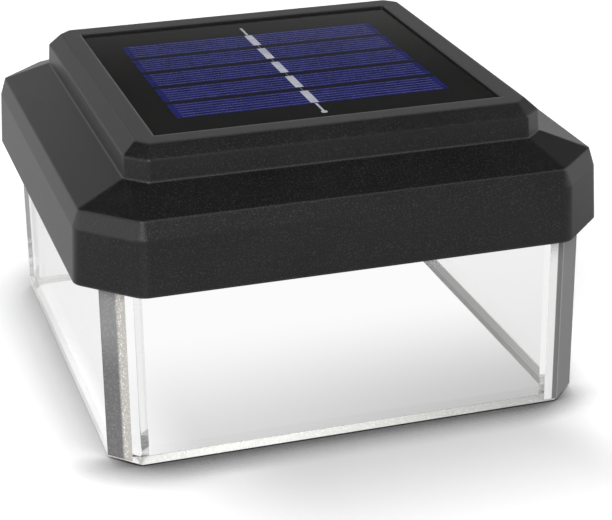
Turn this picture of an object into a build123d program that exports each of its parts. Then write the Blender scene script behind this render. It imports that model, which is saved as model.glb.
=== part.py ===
from build123d import *

import os
from math import sqrt

# Solar fence light: a lift-off cap with a solar panel, seated on a thick clear base that slips over a post.
# Millimetres. Z is up and Z = 0 is the bottom rim of the clear base, centred on the origin.

os.makedirs("parts", exist_ok=True)

# ---------------------------------------------------------------- clear base
base_width = 119.2
base_wall = 7.0
base_corner_cut = 6.6  # leg of the 45 degree cut at each upright corner
base_height = 51.0
base_edge_round = 0.7
base_rim_chamfer = 0.5

lug_thickness = 4.0
lug_leg = 32.0
post_screw_inset = 12.6  # from the inner face of a wall to a post screw
post_screw_hole = 4.5

# ---------------------------------------------------------------- cap, from its lower edge upwards
cap_overhang = 5.4  # how far the skirt stands out over each clear wall
cap_corner_cut = 13.0
cap_corner_round = 4.5
cap_overlap = 5.8  # how far the skirt hangs below the top of the clear base
skirt_taper = 0.7

band_height = 4.3
band_inset = 1.4
band_corner_cut = 11.9
band_corner_round = 1.6

roof_height = 4.5
roof_run = 11.6
frame_height = 5.2
frame_taper = 0.3
frame_corner_cut = 4.7
frame_corner_round = 0.9
frame_edge_round = 0.5

crown_height = 2.9
crown_inset = 3.1
crown_corner_cut = 2.9
rim_width = 5.0
rim_edge_round = 0.6

housing_wall = 2.2
recess_floor = 2.0
seal_rib = 1.6

# ---------------------------------------------------------------- solar panel
panel_lip = 0.7  # depth of the glossy cover below the rim
panel_side_gap = 0.3
panel_seal_thickness = 0.6
panel_seal_width = 3.0
panel_seal_margin = 1.2
board_thickness = 1.6
cover_thickness = 1.0

strip_count = 5
strip_gap = 2.2
strip_side_margin = 8.2  # from the panel's side edges to the strips' ends
strip_end_margin = 12.45  # from its front and back edges to the outer strips
cell_thickness = 0.25
tab_width = 2.1
tab_overhang = 0.5
tab_thickness = 0.12
lead_out_length = 6.6
lead_out_width = 0.6
solder_radius = 0.8
pocket_gap = 0.08

# ---------------------------------------------------------------- tray under the cap
tray_thickness = 2.4
tray_side_gap = 0.3
plug_depth = 5.5
plug_wall = 2.0
plug_gap = 0.3
plug_end_gap = 0.3  # between the collar's end and the lugs in the clear base
seal_thickness = 1.2
seal_spread = 0.3  # how much wider the rubber is than the rib, each side

boss_inset = 7.6  # from the inner face of a clear wall to a screw boss
boss_radius = 3.5
screw_sides = 12  # screws are plain many-sided pegs, and so are the holes that they bite into
tray_screw_radius = 1.3
tray_screw_length = 12.0
pilot_extra_depth = 1.0
tray_screw_gap = 0.3
screw_head_radius = 2.9
screw_head_height = 1.8

# ---------------------------------------------------------------- rechargeable cell and its bay
cell_radius = 7.1
cell_length = 48.5
cell_nub_radius = 2.7
cell_nub_length = 1.5
cell_gap = 0.3
bay_wall = 1.2
bay_roof_gap = 0.2  # between the bay's roof and the floor of the panel recess
bay_end_space = 2.0  # room for a contact at each end of the cell
bay_y = 18.0

contact_thickness = 0.4
contact_width = 8.0
contact_height = 11.0
crown_half_height = 2.6  # the bend that presses on the cell
crown_half_flat = 0.8
tail_width = 3.0
tail_reach = 1.6  # how far a solder tail stands out of the bay
tail_gap = 0.1

# ---------------------------------------------------------------- hinged door under the cell
door_thickness = 1.6
door_overlap = 3.0
door_gap = 0.4  # between the door and the tray above it
door_lip_wall = 1.2
door_lip_height = 1.5
door_lip_gap = 0.7
hinge_pin_radius = 1.0
hinge_running_gap = 0.05
hinge_barrel_radius = 2.1
hinge_offset = 4.4  # from the bay's edge to the hinge axis
hinge_drop = 2.5  # from the tray down to the hinge axis
ear_width = 4.0
ear_spacing = 22.0
ear_side_gap = 0.3
ear_reach = 2.2
thumb_tab_length = 14.0
thumb_tab_depth = 3.0
door_corner_cut = 1.2
door_groove_pitch = 2.0
door_groove_count = 5
groove_width = 0.6  # grip grooves on the thumb tab and the switch knob
groove_depth = 0.4
catch_width = 10.0
catch_gap = 0.3

# ---------------------------------------------------------------- circuit board and switch
pcb_length = 44.0
pcb_depth = 27.0
pcb_thickness = 1.6
pcb_y = -22.0
pcb_standoff = 4.0
standoff_radius = 2.6
pcb_screw_inset = 3.5
pcb_screw_radius = 1.0
pcb_screw_length = 4.6
pcb_screw_head_radius = 1.9
pcb_screw_head_height = 1.3
pcb_screw_gap = 0.25

component_pitch = 10.0  # chip, coil and capacitor stand in a row
component_row_y = -27.0
chip_length = 5.0
chip_width = 4.0
chip_height = 1.5
coil_radius = 3.0
coil_height = 3.6
capacitor_radius = 2.5
capacitor_height = 6.0
resistor_pitch = 3.2
resistor_count = 3
resistor_length = 1.6
resistor_width = 0.8
resistor_height = 0.5

switch_x = 8.0
switch_length = 9.0
switch_depth = 5.0
switch_throw = 2.5
switch_stem = 2.0
switch_side_gap = 0.25
switch_flange = 3.4
switch_flange_height = 1.0
knob_length = 4.0
knob_depth = 3.4
knob_height = 1.5
knob_gap = 0.3

# ---------------------------------------------------------------- light bars over the four clear walls
bar_length = 60.0
bar_width = 6.0
bar_thickness = 1.0
bar_peg_spacing = 52.0
bar_peg_width = 1.8
bar_peg_gap = 0.1
bar_peg_height = 1.6
led_count = 3
led_spacing = 18.0
led_length = 3.5
led_width = 2.8
led_height = 0.9
led_slot_gap = 0.6

# ---------------------------------------------------------------- wires inside the cap
wire_radius = 0.7  # a single wire
twin_radius = 1.0  # two wires in one jacket
wire_sides = 6  # a plain section, because every wire is shut in
wire_bend = 4.2
short_wire_bend = 3.4  # for the short drop onto the front light bar
wire_rise = 4.4  # how high a wire stands off the board that it leaves
wire_hole_gap = 0.6
panel_wire_rise = 6.0  # how high the panel's leads run over the circuit board
battery_wire_bend_y = -4.0
battery_pad_x = 12.5
link_start = 22.0  # where the link wires meet a light bar, from its middle

# ---------------------------------------------------------------- levels worked out from the sizes above
inset_factor = 2 - sqrt(2)  # how much a corner cut shrinks for each unit of inset

tray_bottom = base_height
tray_top = tray_bottom + tray_thickness
seal_top = tray_top + seal_thickness

cell_axis = tray_top + cell_gap + cell_radius
bay_length = cell_length + cell_nub_length + 2 * bay_end_space
bay_width = 2 * (cell_radius + cell_gap)
bay_ceiling = cell_axis + cell_radius + cell_gap
bay_front = bay_y - bay_width / 2
bay_back = bay_y + bay_width / 2

# the panel is stacked on the bay, and the cap's outside steps follow from it
ceiling = bay_ceiling + bay_wall + bay_roof_gap
recess_bottom = ceiling + recess_floor
board_bottom = recess_bottom + panel_seal_thickness
board_top = board_bottom + board_thickness
cover_top = board_top + cover_thickness
rim_top = cover_top + panel_lip

frame_top = rim_top - crown_height
roof_top = frame_top - frame_height
band_top = roof_top - roof_height
skirt_top = band_top - band_height
skirt_bottom = base_height - cap_overlap

cap_width = base_width + 2 * cap_overhang
skirt_top_width = cap_width - 2 * skirt_taper
band_top_width = skirt_top_width - 2 * band_inset
roof_top_width = band_top_width - 2 * roof_run
frame_top_width = roof_top_width - 2 * frame_taper
rim_outer_width = frame_top_width - 2 * crown_inset
recess_width = rim_outer_width - 2 * rim_width
panel_width = recess_width - 2 * panel_side_gap
strip_length = panel_width - 2 * strip_side_margin
strip_depth = (panel_width - 2 * strip_end_margin - strip_gap * (strip_count - 1)) / strip_count
strip_pitch = strip_depth + strip_gap

base_inner_width = base_width - 2 * base_wall
base_inner_cut = base_corner_cut - inset_factor * base_wall
lug_top = base_height - plug_depth - plug_end_gap
socket_depth = lug_top - lug_thickness  # how far the post goes in before the lugs stop it
post_screw_spacing = base_inner_width - 2 * post_screw_inset
boss_spacing = base_inner_width - 2 * boss_inset

tail_bottom = cell_axis + contact_height / 2 - contact_thickness
tail_end_x = bay_length / 2 + bay_wall + tail_reach

door_top = tray_bottom - door_gap
door_bottom = door_top - door_thickness
door_front = bay_front - door_overlap
door_length = bay_length + 2 * door_overlap
hinge_y = bay_back + hinge_offset
hinge_z = tray_bottom - hinge_drop

pcb_bottom = tray_top + pcb_standoff
pcb_top = pcb_bottom + pcb_thickness
pcb_screw_x = pcb_length / 2 - pcb_screw_inset
pcb_screw_dy = pcb_depth / 2 - pcb_screw_inset
pcb_screw_places = [(-pcb_screw_x, pcb_y - pcb_screw_dy), (pcb_screw_x, pcb_y + pcb_screw_dy)]
wall_centre = (base_width - base_wall) / 2


# ---------------------------------------------------------------- shared profiles
def cut_square(width, cut, height, corner_round=0.0):
    """A square with its corners cut at 45 degrees, lying at the given height."""
    with BuildSketch(Plane.XY.offset(height)) as outline:
        Rectangle(width, width)
        chamfer(outline.vertices(), cut)
        if corner_round > 0:
            fillet(outline.vertices(), corner_round)
    return outline.sketch


def cut_square_ring(outer_width, outer_cut, wall, height):
    """The same outline as a band of even width."""
    with BuildSketch(Plane.XY.offset(height)) as band:
        add(cut_square(outer_width, outer_cut, 0))
        inner_cut = outer_cut - inset_factor * wall
        add(cut_square(outer_width - 2 * wall, inner_cut, 0), mode=Mode.SUBTRACT)
    return band.sketch


def cut_inside(width, cut, inner_width):
    """The corner cut of an outline that lies evenly inside another one."""
    return cut - inset_factor * (width - inner_width) / 2


def wire(*points, radius=wire_radius, bend=wire_bend):
    """A wire along straight runs joined by tangent bends."""
    with BuildPart() as lead:
        with BuildLine() as route:
            FilletPolyline(*points, radius=bend)
        with BuildSketch(Plane(points[0], z_dir=Vector(*points[1]) - Vector(*points[0]))):
            RegularPolygon(radius, wire_sides)
        sweep(path=route.line)
    return lead.part


# ---------------------------------------------------------------- clear base
with BuildPart() as clear_base:
    extrude(cut_square(base_width, base_corner_cut, 0), amount=base_height)
    upright_edges = clear_base.edges().filter_by(Axis.Z)
    fillet(upright_edges, base_edge_round)
    extrude(
        cut_square(base_inner_width, base_inner_cut, 0),
        amount=base_height,
        mode=Mode.SUBTRACT,
    )
    # corner lugs that stop the post, joined to the walls
    with BuildSketch(Plane.XY.offset(socket_depth)) as lugs:
        Rectangle(base_inner_width + base_wall, base_inner_width + base_wall)
        Rectangle(base_inner_width + base_wall, base_inner_width - 2 * lug_leg, mode=Mode.SUBTRACT)
        Rectangle(base_inner_width - 2 * lug_leg, base_inner_width + base_wall, mode=Mode.SUBTRACT)
        lug_clear_width = (base_inner_width - lug_leg) * sqrt(2)
        Rectangle(lug_clear_width, lug_clear_width, rotation=45, mode=Mode.SUBTRACT)
        add(cut_square(base_width - base_wall, base_corner_cut, 0), mode=Mode.INTERSECT)
    extrude(lugs.sketch, amount=lug_thickness)
    with Locations((0, 0, lug_top)):
        with GridLocations(post_screw_spacing, post_screw_spacing, 2, 2):
            Hole(post_screw_hole / 2, depth=lug_thickness)
    rims = clear_base.faces().filter_by(Axis.Z).sort_by(Axis.Z)
    chamfer(rims[0].outer_wire().edges(), base_rim_chamfer)
clear_base.part.label = "clear_base"

# ---------------------------------------------------------------- cap housing
slope = roof_height / roof_run
roof_drop = housing_wall * sqrt(1 + slope**2)
inner_band_width = band_top_width - 2 * housing_wall
inner_band_top = band_top + housing_wall * slope - roof_drop
inner_frame_width = frame_top_width - 2 * housing_wall
inner_roof_top = inner_band_top + slope * (inner_band_width - inner_frame_width) / 2
inner_skirt_width = skirt_top_width - 2 * housing_wall
rib_outer_width = inner_skirt_width - 2 * (tray_side_gap + seal_spread)
seal_rib_cut = cut_inside(cap_width, cap_corner_cut, rib_outer_width)

with BuildPart() as cap_core:
    # the space inside the cap, with the seal rib and the screw bosses left out of it
    loft(
        [
            cut_square(
                cap_width - 2 * housing_wall,
                cap_corner_cut - inset_factor * housing_wall,
                skirt_bottom,
            ),
            cut_square(
                inner_skirt_width,
                cap_corner_cut - inset_factor * (housing_wall + skirt_taper),
                skirt_top,
            ),
        ],
        ruled=True,
    )
    loft(
        [
            cut_square(
                inner_skirt_width,
                cap_corner_cut - inset_factor * (housing_wall + skirt_taper),
                skirt_top,
            ),
            cut_square(
                inner_band_width,
                band_corner_cut - inset_factor * housing_wall,
                inner_band_top,
            ),
        ],
        ruled=True,
    )
    loft(
        [
            cut_square(
                inner_band_width,
                band_corner_cut - inset_factor * housing_wall,
                inner_band_top,
            ),
            cut_square(
                inner_frame_width,
                frame_corner_cut - inset_factor * housing_wall,
                inner_roof_top,
            ),
        ],
        ruled=True,
    )
    extrude(
        cut_square(
            inner_frame_width,
            frame_corner_cut - inset_factor * housing_wall,
            inner_roof_top,
        ),
        amount=ceiling - inner_roof_top,
    )
    # the hollow under the rim, around the recess
    rim_hollow = (inner_frame_width - recess_width) / 2 - housing_wall
    extrude(
        cut_square_ring(
            inner_frame_width,
            frame_corner_cut - inset_factor * housing_wall,
            rim_hollow,
            ceiling,
        ),
        amount=rim_top - housing_wall - crown_height - ceiling,
    )
    extrude(
        cut_square_ring(rib_outer_width, seal_rib_cut, seal_rib, seal_top),
        amount=inner_roof_top - seal_top,
        mode=Mode.SUBTRACT,
    )
    with BuildSketch(Plane.XY.offset(tray_top)) as bosses:
        with GridLocations(boss_spacing, boss_spacing, 2, 2):
            Circle(boss_radius)
    extrude(bosses.sketch, amount=rim_top - tray_top, mode=Mode.SUBTRACT)

with BuildPart() as top_housing:
    loft(
        [
            cut_square(cap_width, cap_corner_cut, skirt_bottom, cap_corner_round),
            cut_square(
                skirt_top_width,
                cap_corner_cut - inset_factor * skirt_taper,
                skirt_top,
                cap_corner_round,
            ),
        ],
        ruled=True,
    )
    loft(
        [
            cut_square(
                skirt_top_width,
                cap_corner_cut - inset_factor * skirt_taper,
                skirt_top,
                cap_corner_round,
            ),
            cut_square(band_top_width, band_corner_cut, band_top, band_corner_round),
        ],
        ruled=True,
    )
    loft(
        [
            cut_square(band_top_width, band_corner_cut, band_top, band_corner_round),
            cut_square(roof_top_width, frame_corner_cut, roof_top, frame_corner_round),
        ],
        ruled=True,
    )
    loft(
        [
            cut_square(roof_top_width, frame_corner_cut, roof_top, frame_corner_round),
            cut_square(frame_top_width, frame_corner_cut, frame_top, frame_corner_round),
        ],
        ruled=True,
    )
    loft(
        [
            cut_square(frame_top_width, frame_corner_cut, frame_top, frame_corner_round),
            cut_square(rim_outer_width, crown_corner_cut, rim_top, frame_corner_round),
        ],
        ruled=True,
    )
    crown_edge = top_housing.edges().filter_by_position(Axis.Z, frame_top - 0.01, frame_top + 0.01)
    fillet(crown_edge, frame_edge_round)
    rim_edge = top_housing.edges().filter_by_position(Axis.Z, rim_top - 0.01, rim_top + 0.01)
    fillet(rim_edge, rim_edge_round)
    add(cap_core.part, mode=Mode.SUBTRACT)
    # square recess for the solar panel
    with BuildSketch(Plane.XY.offset(recess_bottom)) as recess:
        Rectangle(recess_width, recess_width)
    extrude(recess.sketch, amount=rim_top - recess_bottom, mode=Mode.SUBTRACT)
    # way down for the panel's leads
    with Locations((0, 0, recess_bottom)):
        Hole(twin_radius + wire_hole_gap, depth=recess_floor)
    # pilot holes for the tray screws
    with BuildSketch(Plane.XY.offset(tray_top)):
        with GridLocations(boss_spacing, boss_spacing, 2, 2):
            RegularPolygon(tray_screw_radius, screw_sides)
    extrude(amount=tray_screw_length - tray_thickness + pilot_extra_depth, mode=Mode.SUBTRACT)
top_housing.part.label = "top_housing"

# ---------------------------------------------------------------- solar panel
with BuildPart() as panel_sealant:
    with BuildSketch(Plane.XY.offset(recess_bottom)):
        seal_outer = panel_width - 2 * panel_seal_margin
        Rectangle(seal_outer, seal_outer)
        seal_inner = seal_outer - 2 * panel_seal_width
        Rectangle(seal_inner, seal_inner, mode=Mode.SUBTRACT)
    extrude(amount=panel_seal_thickness)
panel_sealant.part.label = "panel_sealant"

with BuildPart() as panel_board:
    with BuildSketch(Plane.XY.offset(board_bottom)):
        Rectangle(panel_width, panel_width)
    extrude(amount=board_thickness)
panel_board.part.label = "panel_board"

with BuildPart() as solar_cells:
    with BuildSketch(Plane.XY.offset(board_top)):
        with GridLocations(0, strip_pitch, 1, strip_count):
            Rectangle(strip_length, strip_depth)
    extrude(amount=cell_thickness)
solar_cells.part.label = "solar_cells"

cells_top = board_top + cell_thickness
field_depth = strip_pitch * (strip_count - 1) + strip_depth
with BuildPart() as cell_tabs:
    # one silver tab across each strip
    with BuildSketch(Plane.XY.offset(cells_top)):
        with GridLocations(0, strip_pitch, 1, strip_count):
            Rectangle(tab_width, strip_depth - 2 * tab_overhang)
    extrude(amount=tab_thickness)
    # lead-out ribbons at the first and last strip
    with BuildSketch(Plane.XY.offset(board_top)):
        with GridLocations(0, field_depth + lead_out_length + 2 * pocket_gap, 1, 2):
            Rectangle(lead_out_width, lead_out_length)
        with Locations((0, -field_depth / 2 - lead_out_length - pocket_gap)):
            Circle(solder_radius)
    extrude(amount=cell_thickness + tab_thickness)
cell_tabs.part.label = "cell_tabs"

with BuildPart() as panel_cover:
    with BuildSketch(Plane.XY.offset(board_top)):
        Rectangle(panel_width, panel_width)
    extrude(amount=cover_thickness)
    # pocket that clears the strips and their tabs
    with BuildSketch(Plane.XY.offset(board_top)):
        pocket_depth = field_depth + 2 * (lead_out_length + solder_radius + 2 * pocket_gap)
        Rectangle(strip_length + 2 * pocket_gap, pocket_depth)
    extrude(amount=cell_thickness + tab_thickness + pocket_gap, mode=Mode.SUBTRACT)
panel_cover.part.label = "panel_cover"

# ---------------------------------------------------------------- tray that closes the cap
tray_width = inner_skirt_width - 2 * tray_side_gap
tray_cut = cut_inside(cap_width, cap_corner_cut, tray_width)
plug_width = base_inner_width - 2 * plug_gap
plug_cut = base_inner_cut + plug_gap
led_slot_length = led_spacing * (led_count - 1) + led_length + 2 * led_slot_gap

with BuildPart() as bottom_tray:
    extrude(cut_square(tray_width, tray_cut, tray_bottom), amount=tray_thickness)
    # collar that plugs into the clear base
    extrude(
        cut_square_ring(plug_width, plug_cut, plug_wall, tray_bottom),
        amount=-plug_depth,
    )
    # bay for the rechargeable cell
    with BuildSketch(Plane.XY.offset(tray_top)):
        with Locations((0, bay_y)):
            Rectangle(bay_length + 2 * bay_wall, bay_width + 2 * bay_wall)
    extrude(amount=bay_ceiling + bay_wall - tray_top)
    with BuildSketch(Plane.XY.offset(tray_bottom)):
        with Locations((0, bay_y)):
            Rectangle(bay_length, bay_width)
    extrude(amount=bay_ceiling - tray_bottom, mode=Mode.SUBTRACT)
    # slots in its end walls for the tails of the contacts
    with BuildSketch(Plane.XY.offset(tail_bottom - tail_gap)):
        with Locations((0, bay_y)):
            Rectangle(bay_length + 2 * bay_wall, tail_width + 2 * tail_gap)
    extrude(amount=contact_thickness + 2 * tail_gap, mode=Mode.SUBTRACT)
    # slots over the clear walls for the light bars
    with BuildSketch(Plane.XY.offset(tray_bottom)):
        with PolarLocations(wall_centre, 4):
            Rectangle(led_width + 2 * led_slot_gap, led_slot_length)
    extrude(amount=tray_thickness, mode=Mode.SUBTRACT)
    # pegs that hold the light bars
    with BuildSketch(Plane.XY.offset(tray_top)):
        with PolarLocations(wall_centre, 4):
            with GridLocations(0, bar_peg_spacing, 1, 2):
                Rectangle(bar_peg_width, bar_peg_width)
    extrude(amount=bar_peg_height)
    # standoffs for the circuit board
    with BuildSketch(Plane.XY.offset(tray_top)):
        with Locations(*pcb_screw_places):
            Circle(standoff_radius)
    extrude(amount=pcb_standoff)
    with BuildSketch(Plane.XY.offset(pcb_bottom)):
        with Locations(*pcb_screw_places):
            RegularPolygon(pcb_screw_radius, screw_sides)
    extrude(amount=-pcb_screw_length, mode=Mode.SUBTRACT)
    # slot for the switch knob
    with BuildSketch(Plane.XY.offset(tray_bottom)):
        with Locations((switch_x + switch_throw / 2, pcb_y)):
            Rectangle(
                switch_stem + switch_throw + 2 * switch_side_gap,
                switch_stem + 2 * switch_side_gap,
            )
    extrude(amount=tray_thickness, mode=Mode.SUBTRACT)
    # ears for the door hinge
    for ear_x in (-ear_spacing, 0, ear_spacing):
        with BuildSketch(Plane.YZ.offset(ear_x)):
            with Locations((hinge_y, hinge_z)):
                Circle(ear_reach)
            with Locations((hinge_y, (hinge_z + tray_bottom) / 2)):
                Rectangle(2 * ear_reach, tray_bottom - hinge_z)
        extrude(amount=ear_width / 2, both=True)
    with Locations(Plane((0, hinge_y, hinge_z), z_dir=(1, 0, 0))):
        Hole(hinge_pin_radius)
    # catch that the door's free edge snaps against
    with BuildSketch(Plane.XY.offset(tray_bottom)):
        with Locations((0, door_front - catch_gap - plug_wall / 2)):
            with GridLocations(thumb_tab_length + catch_width + 2 * catch_gap, 0, 2, 1):
                Rectangle(catch_width, plug_wall)
    extrude(amount=-(door_gap + door_thickness))
    # clearance holes for the tray screws
    with Locations((0, 0, tray_top)):
        with GridLocations(boss_spacing, boss_spacing, 2, 2):
            Hole(tray_screw_radius + tray_screw_gap, depth=tray_thickness)
bottom_tray.part.label = "bottom_tray"

with BuildPart() as housing_gasket:
    gasket_width = rib_outer_width + 2 * seal_spread
    extrude(
        cut_square_ring(
            gasket_width,
            cut_inside(cap_width, cap_corner_cut, gasket_width),
            seal_rib + 2 * seal_spread,
            tray_top,
        ),
        amount=seal_thickness,
    )
housing_gasket.part.label = "housing_gasket"

with BuildPart() as tray_screws:
    with BuildSketch(Plane.XY.offset(tray_bottom - screw_head_height)) as screw_heads:
        with GridLocations(boss_spacing, boss_spacing, 2, 2):
            RegularPolygon(screw_head_radius, screw_sides)
    extrude(amount=screw_head_height)
    with BuildSketch(Plane.XY.offset(tray_bottom)):
        with GridLocations(boss_spacing, boss_spacing, 2, 2):
            RegularPolygon(tray_screw_radius, screw_sides)
    extrude(amount=tray_screw_length)
tray_screws.part.label = "tray_screws"

# ---------------------------------------------------------------- rechargeable cell and contacts
cell_start = -(cell_length + cell_nub_length) / 2
cell_shoulder = cell_start + cell_length
with BuildPart() as rechargeable_cell:
    with BuildSketch(Plane.XZ.offset(-bay_y)):
        with BuildLine():
            Polyline(
                (cell_start, cell_axis),
                (cell_start, cell_axis + cell_radius),
                (cell_shoulder, cell_axis + cell_radius),
                (cell_shoulder, cell_axis + cell_nub_radius),
                (cell_shoulder + cell_nub_length, cell_axis + cell_nub_radius),
                (cell_shoulder + cell_nub_length, cell_axis),
                close=True,
            )
        make_face()
    revolve(axis=Axis((0, bay_y, cell_axis), (1, 0, 0)))
rechargeable_cell.part.label = "rechargeable_cell"


def contact_strip(side):
    """A sprung strip that stands against one end of the bay; side is +1 or -1."""
    wall_x = side * bay_length / 2
    touch_x = side * (cell_length + cell_nub_length) / 2
    inner_x = wall_x - side * contact_thickness
    crown_back_x = touch_x + side * contact_thickness
    low = cell_axis - contact_height / 2
    high = cell_axis + contact_height / 2
    with BuildPart() as strip:
        with BuildSketch(Plane.XZ.offset(-bay_y)):
            with BuildLine():
                Polyline(
                    (wall_x, low),
                    (inner_x, low),
                    (inner_x, cell_axis - crown_half_height),
                    (touch_x, cell_axis - crown_half_flat),
                    (touch_x, cell_axis + crown_half_flat),
                    (inner_x, cell_axis + crown_half_height),
                    (inner_x, high),
                    (wall_x, high),
                    (wall_x, cell_axis + crown_half_height),
                    (crown_back_x, cell_axis + crown_half_flat),
                    (crown_back_x, cell_axis - crown_half_flat),
                    (wall_x, cell_axis - crown_half_height),
                    close=True,
                )
            make_face()
        extrude(amount=contact_width / 2, both=True)
        # solder tail through the end wall
        with BuildSketch(Plane.XY.offset(tail_bottom)):
            with Locations((side * (tail_end_x + bay_length / 2) / 2, bay_y)):
                Rectangle(tail_end_x - bay_length / 2, tail_width)
        extrude(amount=contact_thickness)
    return strip.part


contact_positive = contact_strip(1)
contact_positive.label = "contact_positive"
contact_negative = contact_strip(-1)
contact_negative.label = "contact_negative"

# ---------------------------------------------------------------- hinged battery door
with BuildPart() as battery_door:
    door_back = hinge_y - ear_reach - door_gap
    door_middle = (door_front + door_back) / 2
    with BuildSketch(Plane.XY.offset(door_bottom)) as door_plate:
        with Locations((0, door_middle)):
            Rectangle(door_length, door_back - door_front)
        chamfer(door_plate.vertices(), door_corner_cut)
        with Locations((0, door_front)):
            Rectangle(thumb_tab_length, 2 * thumb_tab_depth)
    extrude(amount=door_thickness)
    # lip that enters the mouth of the bay
    with BuildSketch(Plane.XY.offset(door_top)):
        with Locations((0, bay_y)):
            lip_length = bay_length - 2 * door_lip_gap
            lip_width = bay_width - 2 * door_lip_gap
            Rectangle(lip_length, lip_width)
            Rectangle(lip_length - 2 * door_lip_wall, lip_width - 2 * door_lip_wall, mode=Mode.SUBTRACT)
    extrude(amount=door_lip_height)
    # barrels between the ears
    barrel_length = ear_spacing - ear_width - 2 * ear_side_gap
    for barrel_x in (-ear_spacing / 2, ear_spacing / 2):
        with BuildSketch(Plane.YZ.offset(barrel_x)):
            with Locations((hinge_y, hinge_z)):
                Circle(hinge_barrel_radius)
            with Locations(((hinge_y + door_back) / 2, (door_top + door_bottom) / 2)):
                Rectangle(hinge_y - door_back, door_thickness)
        extrude(amount=barrel_length / 2, both=True)
    with Locations(Plane((0, hinge_y, hinge_z), z_dir=(1, 0, 0))):
        Hole(hinge_pin_radius + hinge_running_gap)
    # grip lines under the thumb tab
    with BuildSketch(Plane.XY.offset(door_bottom)):
        with Locations((0, door_front - thumb_tab_depth / 2)):
            with GridLocations(door_groove_pitch, 0, door_groove_count, 1):
                Rectangle(groove_width, thumb_tab_depth - 2 * groove_width)
    extrude(amount=groove_depth, mode=Mode.SUBTRACT)
battery_door.part.label = "battery_door"

with BuildPart() as door_hinge_pin:
    pin_length = 2 * ear_spacing + ear_width
    with BuildSketch(Plane.YZ):
        with Locations((hinge_y, hinge_z)):
            Circle(hinge_pin_radius)
    extrude(amount=pin_length / 2, both=True)
door_hinge_pin.part.label = "door_hinge_pin"

# ---------------------------------------------------------------- circuit board, switch and small parts
with BuildPart() as circuit_board:
    with BuildSketch(Plane.XY.offset(pcb_bottom)):
        with Locations((0, pcb_y)):
            Rectangle(pcb_length, pcb_depth)
        with Locations(*pcb_screw_places):
            Circle(pcb_screw_radius + pcb_screw_gap, mode=Mode.SUBTRACT)
    extrude(amount=pcb_thickness)
circuit_board.part.label = "circuit_board"

with BuildPart() as board_screws:
    with BuildSketch(Plane.XY.offset(pcb_top)):
        with Locations(*pcb_screw_places):
            RegularPolygon(pcb_screw_head_radius, screw_sides)
    extrude(amount=pcb_screw_head_height)
    with BuildSketch(Plane.XY.offset(pcb_top)):
        with Locations(*pcb_screw_places):
            RegularPolygon(pcb_screw_radius, screw_sides)
    extrude(amount=-pcb_screw_length)
board_screws.part.label = "board_screws"

with BuildPart() as board_components:
    # driver chip
    with BuildSketch(Plane.XY.offset(pcb_top)):
        with Locations((-component_pitch, component_row_y)):
            Rectangle(chip_length, chip_width)
    extrude(amount=chip_height)
    # power coil
    with BuildSketch(Plane.XY.offset(pcb_top)):
        with Locations((0, component_row_y)):
            Circle(coil_radius)
    extrude(amount=coil_height)
    # storage capacitor
    with BuildSketch(Plane.XY.offset(pcb_top)):
        with Locations((component_pitch, component_row_y)):
            Circle(capacitor_radius)
    extrude(amount=capacitor_height)
    # chip resistors
    with BuildSketch(Plane.XY.offset(pcb_top)):
        with Locations((-component_pitch / 2, pcb_y)):
            with GridLocations(resistor_pitch, 0, resistor_count, 1):
                Rectangle(resistor_length, resistor_width)
    extrude(amount=resistor_height)
board_components.part.label = "board_components"

switch_body_height = pcb_bottom - tray_top
with BuildPart() as switch_body:
    with BuildSketch(Plane.XY.offset(tray_top)):
        with Locations((switch_x + switch_throw / 2, pcb_y)):
            Rectangle(switch_length, switch_depth)
    extrude(amount=switch_body_height)
    # channel for the sliding stem
    with BuildSketch(Plane.XY.offset(tray_top)):
        with Locations((switch_x + switch_throw / 2, pcb_y)):
            Rectangle(
                switch_flange + switch_throw + 2 * switch_side_gap,
                switch_flange + 2 * switch_side_gap,
            )
    extrude(amount=switch_flange_height + 2 * switch_side_gap, mode=Mode.SUBTRACT)
switch_body.part.label = "switch_body"

with BuildPart() as switch_slider:
    with BuildSketch(Plane.XY.offset(tray_top + switch_side_gap)):
        with Locations((switch_x, pcb_y)):
            Rectangle(switch_flange, switch_flange)
    extrude(amount=switch_flange_height)
    with BuildSketch(Plane.XY.offset(tray_bottom - knob_gap)):
        with Locations((switch_x, pcb_y)):
            Rectangle(switch_stem, switch_stem)
    extrude(amount=tray_thickness + knob_gap + switch_side_gap)
    with BuildSketch(Plane.XY.offset(tray_bottom - knob_gap)):
        with Locations((switch_x, pcb_y)):
            Rectangle(knob_length, knob_depth)
    extrude(amount=-knob_height)
    # grip lines across the knob
    with BuildSketch(Plane.XY.offset(tray_bottom - knob_gap - knob_height)):
        with Locations((switch_x, pcb_y)):
            with GridLocations(2 * groove_width, 0, 3, 1):
                Rectangle(groove_width, knob_depth)
    extrude(amount=groove_depth, mode=Mode.SUBTRACT)
switch_slider.part.label = "switch_slider"

# ---------------------------------------------------------------- light bars over the clear walls
sides = {"right": 0, "back": 90, "left": 180, "front": 270}


def light_bar(turn):
    """A narrow board that lies on the tray above one clear wall."""
    with BuildPart() as bar:
        with BuildSketch(Plane.XY.offset(tray_top)):
            with PolarLocations(wall_centre, 1, start_angle=turn):
                Rectangle(bar_width, bar_length)
                with GridLocations(0, bar_peg_spacing, 1, 2):
                    peg_hole_width = bar_peg_width + 2 * bar_peg_gap
                    Rectangle(peg_hole_width, peg_hole_width, mode=Mode.SUBTRACT)
        extrude(amount=bar_thickness)
    return bar.part


def led_row(turn):
    """The lamps under one light bar."""
    with BuildPart() as lamps:
        with BuildSketch(Plane.XY.offset(tray_top)):
            with PolarLocations(wall_centre, 1, start_angle=turn):
                with GridLocations(0, led_spacing, 1, led_count):
                    Rectangle(led_width, led_length)
        extrude(amount=-led_height)
    return lamps.part


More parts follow.
